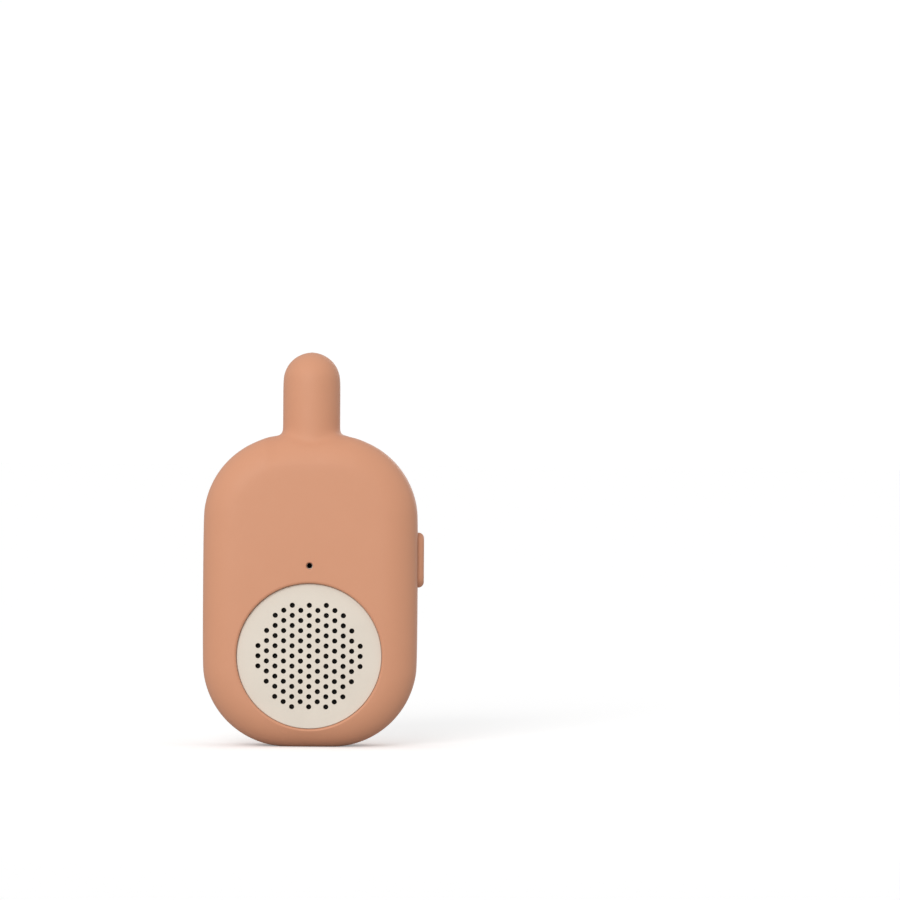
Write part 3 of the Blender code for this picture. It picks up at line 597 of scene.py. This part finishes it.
def cross_screw(place, head_radius, head_low, head_high, shank_radius, tip, steps=48):
    """A screw along Y: a domed head with a cross recess, and a plain round shank without its
    thread.
    """
    rise = head_high - head_low
    root = shank_radius - 0.18
    profile = [(0, tip), (root * 0.35, tip + 0.1), (root, tip + 1.6), (root, head_low - 0.25),
               (root + 0.2, head_low), (head_radius - 0.12, head_low),
               (head_radius, head_low + 0.12), (head_radius, head_low + 0.45 * rise)]
    for turn in (20, 40, 60, 80):
        angle = math.radians(turn)
        profile.append((head_radius * (0.55 + 0.45 * math.cos(angle)),
                        head_low + rise * (0.45 + 0.55 * math.sin(angle))))
    profile.append((0, head_high))
    made = spun(profile, (place[0], 0, place[1]), BACKWARDS, steps)
    middle_y = (head_high - 0.45) * MM
    for turn in (0, 90):
        slot = cuboid((place[0] * MM, middle_y, place[1] * MM),
                      (1.25 * head_radius * MM, 1.2 * MM, 0.24 * head_radius * MM))
        edit(slot)
        pick("FACE", lambda face: face.normal.y < -0.9)
        bpy.ops.transform.resize(value=(0.6, 1, 0.75),
                                 center_override=(place[0] * MM, 0, place[1] * MM))
        if turn:
            pick("VERT")
            bpy.ops.transform.rotate(value=math.pi / 2, orient_axis="Y",
                                     center_override=(place[0] * MM, 0, place[1] * MM))
        combine(made, "DIFFERENCE", slot)
    return made


def thread(place, radius, low, high):
    """A helical ridge along Y: a small triangle wound round the shank by a Screw modifier."""
    mesh = bpy.data.meshes.new("thread")
    corners = [(radius - 0.3, low), (radius, low + 0.22), (radius - 0.3, low + 0.44)]
    mesh.from_pydata([(x * MM, y * MM, 0) for x, y in corners], [(0, 1), (1, 2), (2, 0)], [])
    ridge = bpy.data.objects.new("thread", mesh)
    bpy.context.collection.objects.link(ridge)
    use(ridge, "SCREW", axis="Y", angle=2 * math.pi, screw_offset=THREAD_PITCH * MM,
        iterations=int((high - low) / THREAD_PITCH), steps=24, render_steps=24,
        use_merge_vertices=True, merge_threshold=1e-6)
    edit(ridge)
    pick("EDGE", lambda edge: edge.is_boundary)
    bpy.ops.mesh.fill()
    pick("FACE")
    bpy.ops.mesh.normals_make_consistent(inside=False)
    bpy.ops.transform.translate(value=(place[0] * MM, 0, place[1] * MM))
    return take(ridge)


CASE_HEAD, CASE_SEAT, CASE_SHANK = 2.5, 6.6, 1.3
BOARD_HEAD, BOARD_SEAT, BOARD_SHANK = 2.0, -3.9, 0.95
for kind, name, count in (("casing_screw", "case_screw", 4), ("board_screw", "small_screw", 2)):
    for number in range(1, count + 1):
        low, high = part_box("{}_{}".format(kind, number))
        centre = ((low.x + high.x) / 2 / MM, (low.z + high.z) / 2 / MM)
        if number > 1:
            take(first_screw)
            bpy.ops.object.duplicate()
            made = bpy.context.object
            made.location = Vector((centre[0] - first[0], 0, centre[1] - first[1])) * MM
        else:
            if kind == "casing_screw":
                made = cross_screw(centre, CASE_HEAD, CASE_SEAT, high.y / MM, CASE_SHANK,
                                   low.y / MM)
                take(thread(centre, CASE_SHANK - 0.02, low.y / MM + 1.2, 2.0), made)
                bpy.ops.object.join()
            else:
                made = cross_screw(centre, BOARD_HEAD, BOARD_SEAT, high.y / MM, BOARD_SHANK,
                                   low.y / MM, 32)
            first, first_screw = centre, made
        finish(made, "{}_{}".format(name, number), zinc)
        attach(made, "root")
        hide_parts("{}_{}".format(kind, number))

# ---------------------------------------------------------------- batteries
# Three AAA cells side by side, the middle one the other way up. Each is a nickel-plated can in a
# shrunk plastic wrap, dark with a copper-coloured band at the positive end.

wrap_dark = mottled("wrap_dark", colour(34, 36, 40), colour(42, 44, 48), 9, 0.5, 0.28, 0.003)
wrap_band = mottled("wrap_band", colour(178, 112, 62), colour(194, 126, 72), 9, 0.5, 0.28, 0.003)


def cell(number, kind, profile, material):
    """One turned piece of a cell, its profile's heights counted from the flat end."""
    low, high = (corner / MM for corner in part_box("battery_{}".format(number)))
    heights = [(radius, high.z - z if number == 2 else low.z + z) for radius, z in profile]
    made = spun(heights, ((low.x + high.x) / 2, (low.y + high.y) / 2, 0), (0, 0, 1), 56)
    finish(made, "cell_{}_{}".format(kind, number), material)
    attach(made, "root")
    return made


for number in (1, 2, 3):
    can = cell(number, "can", [(0, 0.15), (3.6, 0.15), (3.9, 0), (4.7, 0), (5.05, 0.35),
                               (5.05, 43.2), (4.6, 43.65), (4.1, 43.7), (3.8, 43.4), (2.3, 43.4),
                               (1.9, 43.6), (1.85, 44.3), (1.6, 44.5), (0, 44.5)],
               nickel_plate)
    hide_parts("battery_{}".format(number))
    cell(number, "wrap", [(4.6, 0.3), (4.75, 0.05), (5.0, 0.05), (5.25, 0.35), (5.25, 33.5),
                          (5.05, 33.5), (5.05, 0.5), (4.6, 0.3)], wrap_dark)
    cell(number, "band", [(5.05, 33.5), (5.25, 33.5), (5.25, 43.3), (5.0, 43.68), (4.6, 43.75),
                          (4.5, 43.6), (4.9, 43.4), (5.05, 43.1), (5.05, 33.5)], wrap_band)

# ---------------------------------------------------------------- battery cover
# A cream ABS lid that hooks under the casing with two tabs at its top. A sunk panel inside a
# narrow border stiffens it, and a captive cross-head screw at the bottom locks it, sealed by an
# O-ring.

cover_low, cover_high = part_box("battery_cover")
COVER_INSIDE, COVER_OUTSIDE, COVER_TOP, SCREW_Z = 11.6, 14.0, 93.0, 37.0
COVER_CORNER, COVER_EDGE = 5.0, 0.4
BORDER = ((0.7, 0), (0.2, -0.2), (0.5, 0), (0.2, 0.2))
cover_bottom = cover_low.z / MM
lid = cuboid((0, (COVER_INSIDE + COVER_OUTSIDE) / 2 * MM, (cover_bottom + COVER_TOP) / 2 * MM),
             (cover_high.x - cover_low.x, (COVER_OUTSIDE - COVER_INSIDE) * MM,
              (COVER_TOP - cover_bottom) * MM))
edit(lid)
pick("EDGE", lambda edge: abs(edge.verts[0].co.y - edge.verts[1].co.y) > MM)
bpy.ops.mesh.bevel(offset=COVER_CORNER * MM, segments=12, affect="EDGES")
pick("EDGE", lambda edge: level(edge, "y", COVER_OUTSIDE * MM))
bpy.ops.mesh.bevel(offset=COVER_EDGE * MM, segments=4, affect="EDGES")
pick("FACE", lambda face: level(face, "y", COVER_OUTSIDE * MM))
for width, sink in BORDER:
    bpy.ops.mesh.inset(thickness=width * MM, depth=sink * MM)
boss = spun([(0, 10.9), (4.3, 10.9), (4.5, 11.1), (4.5, 12.2), (0, 12.2)], (0, 0, SCREW_Z),
            BACKWARDS, 48)
tabs = []
for side in (-1, 1):
    x_low, x_high = sorted((side * 3.55, side * 7.55))
    tabs.append(block((x_low, 8.8, 90.9), (x_high, 12.3, 92.4), 0.2, 2))
    tabs.append(block((x_low + 0.03, 8.83, 91.2), (x_high - 0.03, 10.6, 95.6), 0.2, 2))
combine(lid, "UNION", boss, *tabs)
bore = spun([(0, 8), (1.7, 8), (1.7, 11.9), (2.9, 11.9), (2.9, 13.7), (3.15, 13.95), (3.15, 15),
             (0, 15)], (0, 0, SCREW_Z), BACKWARDS, 48)
combine(lid, "DIFFERENCE", bore)
finish(lid, "battery_lid", moulded_cream)
use(lid, "WEIGHTED_NORMAL", keep_sharp=True)
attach(lid, "battery_cover_body")
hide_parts("battery_cover")

lid_screw = cross_screw((0, SCREW_Z), 2.4, 12.8, 13.9, 1.3, 7.0, 64)
ridge = thread((0, SCREW_Z), 1.3, 7.6, 11.6)
take(ridge, lid_screw)
bpy.ops.object.join()
finish(lid_screw, "lid_screw", zinc)
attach(lid_screw, "cover_screw_body")
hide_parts("battery_cover_screw")
bpy.ops.mesh.primitive_torus_add(major_radius=1.9 * MM, minor_radius=0.35 * MM,
                                 major_segments=48, minor_segments=16,
                                 location=(0, 12.35 * MM, SCREW_Z * MM),
                                 rotation=(math.pi / 2, 0, 0))
seal = bpy.context.object
finish(seal, "lid_seal", black_rubber)
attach(seal, "cover_screw_carrier")
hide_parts("cover_screw_o_ring")

# ---------------------------------------------------------------- talk button
# A silicone key with a wide flange that keeps it in the casing, moulded in the same colour as
# the sleeve. It stands 2 mm proud of the side, and a stub on its back presses the switch.

KEY_HALF_Y, KEY_HALF_Z, KEY_DEPTH = 4.0 * MM, 9.45 * MM, 6.5 * MM
KEY_EDGE, FLANGE, FLANGE_HALF_Z = 1.9 * MM, 1.4 * MM, 11.0 * MM
key_back = cad_high.x - KEY_DEPTH


def silicone(name, dark, light):
    """Matte silicone: a soft drift of colour, a velvety surface and a very fine grain."""
    material, shader, node, link = new_material(name)
    place = node("TexCoord").outputs["Object"]
    drift = node("TexNoise", {"Vector": place, "Scale": 45.0, "Detail": 4.0, "Roughness": 0.6})
    tint = node("ValToRGB", {"Fac": drift.outputs["Fac"]})
    tint.color_ramp.elements[0].position, tint.color_ramp.elements[1].position = 0.3, 0.7
    tint.color_ramp.elements[0].color, tint.color_ramp.elements[1].color = dark, light
    link(tint.outputs["Color"], "Base Color")
    grain = node("TexNoise", {"Vector": place, "Scale": 3200.0, "Detail": 2.0})
    cloud = node("TexNoise", {"Vector": place, "Scale": 260.0, "Detail": 3.0})
    gloss = node("MapRange", {"Value": cloud.outputs["Fac"], "To Min": 0.5, "To Max": 0.66})
    link(gloss.outputs["Result"], "Roughness")
    bump = node("Bump", {"Height": grain.outputs["Fac"], "Strength": 1.0, "Distance": 0.008 * MM})
    wave = node("Bump", {"Height": cloud.outputs["Fac"], "Strength": 1.0, "Distance": 0.012 * MM,
                         "Normal": bump.outputs["Normal"]})
    link(wave.outputs["Normal"], "Normal")
    shader.inputs["Specular IOR Level"].default_value = 0.32
    shader.inputs["Sheen Weight"].default_value = 0.08
    shader.inputs["Sheen Roughness"].default_value = 0.5
    return material


terracotta = silicone("terracotta_silicone", colour(210, 149, 116), colour(212, 151, 118))
key = cuboid(((key_back + button_high.x) / 2, 0, button_z),
             (button_high.x - key_back, 2 * KEY_HALF_Y, 2 * KEY_HALF_Z))
edit(key)
pick("EDGE", lambda edge: abs(edge.verts[0].co.x - edge.verts[1].co.x) > MM)
bpy.ops.mesh.bevel(offset=KEY_HALF_Y * 0.985, segments=14, affect="EDGES")
pick("EDGE", lambda edge: level(edge, "x", button_high.x))
bpy.ops.mesh.bevel(offset=KEY_EDGE, segments=8, affect="EDGES")
pick("FACE", lambda face: level(face, "x", key_back))
bpy.ops.mesh.extrude_region_move(TRANSFORM_OT_translate={"value": (0, 0, 0)})
bpy.ops.transform.resize(value=(1, 1.25, FLANGE_HALF_Z / KEY_HALF_Z),
                         center_override=(0, 0, button_z))
bpy.ops.mesh.extrude_region_move(TRANSFORM_OT_translate={"value": (-FLANGE, 0, 0)})
stub = spun([(0, button_low.x / MM), (1.0, button_low.x / MM), (1.2, button_low.x / MM + 0.2),
             (1.2, key_back / MM - 1.2), (0, key_back / MM - 1.2)],
            (0, STUB_Y, button_z / MM), (1, 0, 0), 32)
combine(key, "UNION", stub)
finish(key, "talk_button", terracotta, 40)
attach(key, "ptt_button_body")
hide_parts("ptt_button")

# ---------------------------------------------------------------- sleeve
# One piece of moulded silicone, 2 mm thick, that is stretched over the casing and covers the
# antenna too. It has windows for the grille, microphone, talk button, battery cover and power
# knob, each with a rounded lip, and it stands on a small flat at its lower end.

SKIN = 2.0 * MM
CORNER_RADIUS = 29.2 * MM
RIM_WIDTH = 12.7 * MM
SIDE_BAND = 5.0 * MM
BODY_TOP, BODY_BOTTOM = 106.6 * MM, -0.34 * MM
ANTENNA_RADIUS, ANTENNA_FILLET = 9.85 * MM, 2.2 * MM
GRILLE_WINDOW, GRILLE_LIP = (24.83 * MM, 24.83 * MM), 0.75 * MM
MIC_WINDOW, MIC_LIP = (1.1 * MM, 1.1 * MM), 0.45 * MM
COVER_WINDOW, COVER_WINDOW_Z = (18.95 * MM, 31.1 * MM), 62.25 * MM
KNOB_WINDOW, KEY_WINDOW = (7 * MM, 3.5 * MM), (4.3 * MM, 9.75 * MM)
LIP, CUT_DEPTH = 0.4 * MM, 4 * MM
sleeve_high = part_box("silicone_sleeve")[1]
half_width, half_depth = sleeve_high.x, sleeve_high.y
tip_centre = sleeve_high.z - ANTENNA_RADIUS
core_x = half_width - CORNER_RADIUS


def rounded_body(inset, corner_steps, rim_steps):
    """The body without its antenna: a slab with round corners and rounded rims."""
    width = RIM_WIDTH - inset
    depth = half_depth - SIDE_BAND - inset
    top, bottom = BODY_TOP - inset, BODY_BOTTOM + inset
    thick = (SIDE_BAND + depth) * width / depth
    body = cuboid((0, 0, (top + bottom) / 2),
                  (2 * (half_width - inset), 2 * thick, top - bottom))
    edit(body)
    pick("EDGE", lambda edge: abs(edge.verts[0].co.y - edge.verts[1].co.y) > MM)
    bpy.ops.mesh.bevel(offset=CORNER_RADIUS - inset, segments=corner_steps, affect="EDGES")
    pick("EDGE", lambda edge: level(edge, "y", thick) or level(edge, "y", -thick))
    bpy.ops.mesh.bevel(offset=width, segments=rim_steps, affect="EDGES")
    pick("VERT")
    bpy.ops.transform.resize(value=(1, depth / width, 1), center_override=(0, 0, 0))
    return take(body)


def sleeve_form(inset, smoothing):
    """Body and antenna in one smooth form, all moved inwards by inset."""
    form = rounded_body(inset, 10, 6)
    guide = rounded_body(inset, 40, 24)
    radius = ANTENNA_RADIUS - inset
    root_y = SIDE_BAND + (half_depth - SIDE_BAND - inset) * math.sin(math.radians(72))
    root_x = core_x + (CORNER_RADIUS - inset) * math.sin(math.radians(16))
    edit(form)
    for x in (-core_x / 2, 0, core_x / 2):
        pick("VERT")
        bpy.ops.mesh.bisect(plane_co=(x, 0, 0), plane_no=(1, 0, 0))
    pick("FACE", lambda face: middle(face).z > BODY_TOP / 2 and abs(middle(face).x) < root_x
         and abs(middle(face).y) < root_y)
    bpy.ops.mesh.delete(type="FACE")
    count = len(bmesh.from_edit_mesh(form.data).verts)
    pick("EDGE", lambda edge: edge.is_boundary)
    loop = sum(edge.select for edge in bmesh.from_edit_mesh(form.data).edges)
    bpy.ops.mesh.primitive_circle_add(vertices=loop, radius=radius + ANTENNA_FILLET,
                                      location=(0, 0, BODY_TOP))
    pick("EDGE", lambda edge: edge.is_boundary or edge.is_wire)
    bpy.ops.mesh.bridge_edge_loops(number_cuts=2)
    take(form)
    root = form.vertex_groups.new(name="antenna_root")
    root.add(range(count, len(form.data.vertices)), 1, "REPLACE")
    use(form, "SHRINKWRAP", target=guide, wrap_method="PROJECT", use_project_z=True,
        use_negative_direction=True, use_positive_direction=True, vertex_group=root.name)
    bpy.data.objects.remove(guide)
    form.vertex_groups.clear()

    edit(form)
    pick("EDGE", lambda edge: edge.is_boundary)
    reached = radius + ANTENNA_FILLET

    def climb(rise, new_radius):
        """Extrude the open ring upwards and draw it in."""
        bpy.ops.mesh.extrude_region_move(TRANSFORM_OT_translate={"value": (0, 0, rise)})
        share = new_radius / reached
        bpy.ops.transform.resize(value=(share, share, 1), center_override=(0, 0, 0))
        return new_radius

    risen = 0
    for turn in (30, 60, 90):
        height = ANTENNA_FILLET * (1 - math.cos(math.radians(turn)))
        across = radius + ANTENNA_FILLET * (1 - math.sin(math.radians(turn)))
        reached = climb(height - risen, across)
        risen = height
    bpy.ops.mesh.extrude_region_move(TRANSFORM_OT_translate={"value": (0, 0, ANTENNA_FILLET)})
    ring_z = BODY_TOP + 3 * ANTENNA_FILLET
    bpy.ops.mesh.extrude_region_move(TRANSFORM_OT_translate={"value": (0, 0, ANTENNA_FILLET)})
    bpy.ops.transform.resize(value=(1, 1, 0), center_override=(0, 0, ring_z))
    climb((tip_centre - ring_z) / 2, radius)
    climb((tip_centre - ring_z) / 2, radius)
    risen = 0
    for turn in (15, 30, 45, 60, 75):
        height = radius * math.sin(math.radians(turn))
        reached = climb(height - risen, radius * math.cos(math.radians(turn)))
        risen = height
    bpy.ops.mesh.extrude_region_move(
        TRANSFORM_OT_translate={"value": (0, 0, radius * 1.005 - risen)})
    bpy.ops.mesh.merge(type="CENTER")
    pick("VERT", lambda vertex: abs(vertex.co.y) > 0.6 * abs(vertex.co.x)
         and vertex.co.xy.length < half_depth - inset + 0.5 * MM
         and 0.9 * BODY_TOP < vertex.co.z < BODY_TOP + 2.2 * ANTENNA_FILLET)
    bpy.ops.mesh.vertices_smooth(factor=0.5, repeat=4)
    pick("FACE")
    bpy.ops.mesh.normals_make_consistent(inside=False)
    use(form, "SUBSURF", levels=smoothing, render_levels=smoothing)
    edit(form)
    pick("VERT")
    bpy.ops.mesh.bisect(plane_co=(0, 0, inset), plane_no=(0, 0, 1), use_fill=True,
                        clear_inner=True, threshold=1e-6)
    return take(form)


def lip_plug(centre, facing, half, corner, lip, depth, onto=None):
    """A cutter for a window whose edge is rounded over.

    Half is the window's half width and half height, across and up. The plug's widest ring lies
    on the surface, or is pressed onto it, and narrows inwards along a quarter round.
    """
    facing, centre = Vector(facing), Vector(centre)
    across = Vector((0, 1, 0)) if abs(facing.x) > 0.5 else Vector((1, 0, 0))
    turn = Matrix((across, Vector((0, 0, 1)).cross(across), (0, 0, 1))).transposed().to_euler()
    wide, tall = half[0] + lip, half[1] + lip
    if corner is None:
        bpy.ops.mesh.primitive_circle_add(vertices=128, radius=wide, location=(0, 0, 0))
        plug = bpy.context.object
        edit(plug)
    else:
        bpy.ops.mesh.primitive_plane_add(size=1, location=(0, 0, 0))
        plug = bpy.context.object
        plug.scale = (2 * wide, 2 * tall, 1)
        take(plug)
        bpy.ops.object.transform_apply(location=True, rotation=True, scale=True)
        edit(plug)
        pick("VERT")
        bpy.ops.mesh.bevel(offset=corner + lip, segments=12, affect="VERTICES")
        pick("FACE")
        bpy.ops.mesh.delete(type="ONLY_FACE")
    take(plug)
    plug.matrix_world = (Matrix.Translation(centre) @ turn.to_matrix().to_4x4()
                         @ Matrix.Rotation(math.pi / 2, 4, "X"))
    bpy.ops.object.transform_apply(location=True, rotation=True, scale=True)
    if onto:
        use(plug, "SHRINKWRAP", target=onto, wrap_method="PROJECT", use_project_y=True,
            use_negative_direction=True, use_positive_direction=True)
    edit(plug)
    pick("VERT")
    bpy.ops.transform.translate(value=-facing * 0.02 * MM)

    def push(distance, shares=None):
        bpy.ops.mesh.extrude_region_move(TRANSFORM_OT_translate={"value": facing * distance})
        if shares:
            share = across * shares[0] + Vector((0, 0, shares[1]))
            scale = [value if abs(value) > 1e-9 else 1 for value in share]
            bpy.ops.transform.resize(value=scale, center_override=centre)

    pick("EDGE")
    push(4 * MM)
    bpy.ops.mesh.edge_face_add()
    pick("EDGE", lambda edge: edge.is_boundary)
    sunk, size = 0, (wide, tall)
    for angle in (22.5, 45, 67.5, 90):
        deep = lip * (1 - math.cos(math.radians(angle)))
        drawn = lip * math.sin(math.radians(angle))
        new = (wide - drawn, tall - drawn)
        push(sunk - deep, (new[0] / size[0], new[1] / size[1]))
        sunk, size = deep, new
    push(-depth)
    bpy.ops.mesh.edge_face_add()
    pick("FACE")
    bpy.ops.mesh.normals_make_consistent(inside=False)
    return take(plug)


sleeve = sleeve_form(0, 2)
hollow = sleeve_form(SKIN, 1)
FRONT, BACK, RIGHT = (0, -1, 0), (0, 1, 0), (1, 0, 0)
mic_z = (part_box("microphone")[0].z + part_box("microphone")[1].z) / 2
knob_z = (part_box("power_switch_body")[0].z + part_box("power_switch_body")[1].z) / 2
windows = [
    lip_plug((0, -half_depth, SPEAKER[2] * MM), FRONT, GRILLE_WINDOW, None, GRILLE_LIP, CUT_DEPTH,
             sleeve),
    lip_plug((0, -half_depth, mic_z), FRONT, MIC_WINDOW, None, MIC_LIP, CUT_DEPTH),
    lip_plug((0, half_depth, COVER_WINDOW_Z), BACK, COVER_WINDOW, 5.3 * MM, LIP, CUT_DEPTH),
    lip_plug((0, half_depth, knob_z), BACK, KNOB_WINDOW, 2 * MM, LIP, CUT_DEPTH),
    lip_plug((half_width, 0, button_z), RIGHT, KEY_WINDOW, 4.2 * MM, LIP, CUT_DEPTH),
]
combine(sleeve, "DIFFERENCE", hollow, *windows)
finish(sleeve, "sleeve", terracotta, 30)
use(sleeve, "WEIGHTED_NORMAL", keep_sharp=True)
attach(sleeve, "root")
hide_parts("silicone_sleeve")

# ---------------------------------------------------------------- studio
# A white floor, a white surround, a soft sun from the upper left in front with a weaker one
# behind, and a small lamp that lights the upper end a little more than the lower.

CAMERA_PLACE, CAMERA_TILT, LENS = (0.0476, -1.718, 0.1018), -0.38, 200
SUNS = (("front_sun", (-0.25, -0.88, 0.34), 0.96), ("back_fill", (0.35, 0.92, 0.16), 0.42))
SUN_SOFTNESS, LAMP_SIZE, LAMP_POWER = 30, 0.2, 0.3
LAMP_PLACE, LAMP_AIM = Vector((-0.101, -0.363, 0.235)), Vector((0, 0, 0.065))
bpy.ops.mesh.primitive_plane_add(size=60, location=(0, 0, 0))
floor = bpy.context.object
floor.name = "floor"
paper, shader, node, link = new_material("white_paper", roughness=1.0)
shader.inputs["Specular IOR Level"].default_value = 0.0
shader.inputs["Emission Color"].default_value = (1, 1, 1, 1)
ray = node("LightPath").outputs["Is Camera Ray"]
bounce = node("MapRange", {"Value": ray, "To Min": 0.52, "To Max": 0.93})
link(bounce.outputs["Result"], "Base Color")
glow = node("MapRange", {"Value": ray, "To Min": 0.0, "To Max": 0.25})
link(glow.outputs["Result"], "Emission Strength")
floor.data.materials.append(paper)
floor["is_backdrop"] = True

world = bpy.data.worlds.new("white_surround")
bpy.context.scene.world = world
world.use_nodes = True
surround = world.node_tree.nodes["Background"]
surround.inputs["Color"].default_value = (1, 1, 1, 1)
seen = world.node_tree.nodes.new("ShaderNodeLightPath")
strength = world.node_tree.nodes.new("ShaderNodeMapRange")
strength.inputs["To Min"].default_value = 0.68
strength.inputs["To Max"].default_value = 1.02
world.node_tree.links.new(seen.outputs["Is Camera Ray"], strength.inputs["Value"])
world.node_tree.links.new(strength.outputs["Result"], surround.inputs["Strength"])

for name, toward, energy in SUNS:
    bpy.ops.object.light_add(type="SUN", location=Vector(toward) * 2)
    sun = bpy.context.object
    sun.name = name
    sun.data.energy = energy
    sun.data.angle = math.radians(SUN_SOFTNESS)
    sun.rotation_euler = Vector(toward).to_track_quat("Z", "Y").to_euler()
bpy.ops.object.light_add(type="AREA", location=LAMP_PLACE)
lamp = bpy.context.object
lamp.name = "small_lamp"
lamp.data.shape = "DISK"
lamp.data.size = LAMP_SIZE
lamp.data.energy = LAMP_POWER
lamp.visible_camera = False
lamp.rotation_euler = (LAMP_PLACE - LAMP_AIM).to_track_quat("Z", "Y").to_euler()

bpy.ops.object.camera_add(location=CAMERA_PLACE,
                          rotation=(math.pi / 2, math.radians(CAMERA_TILT), 0))
camera = bpy.context.object
camera.data.lens = LENS
camera.data.clip_end = 100
bpy.context.scene.camera = camera
bpy.context.scene.view_settings.view_transform = "Standard"

low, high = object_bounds()
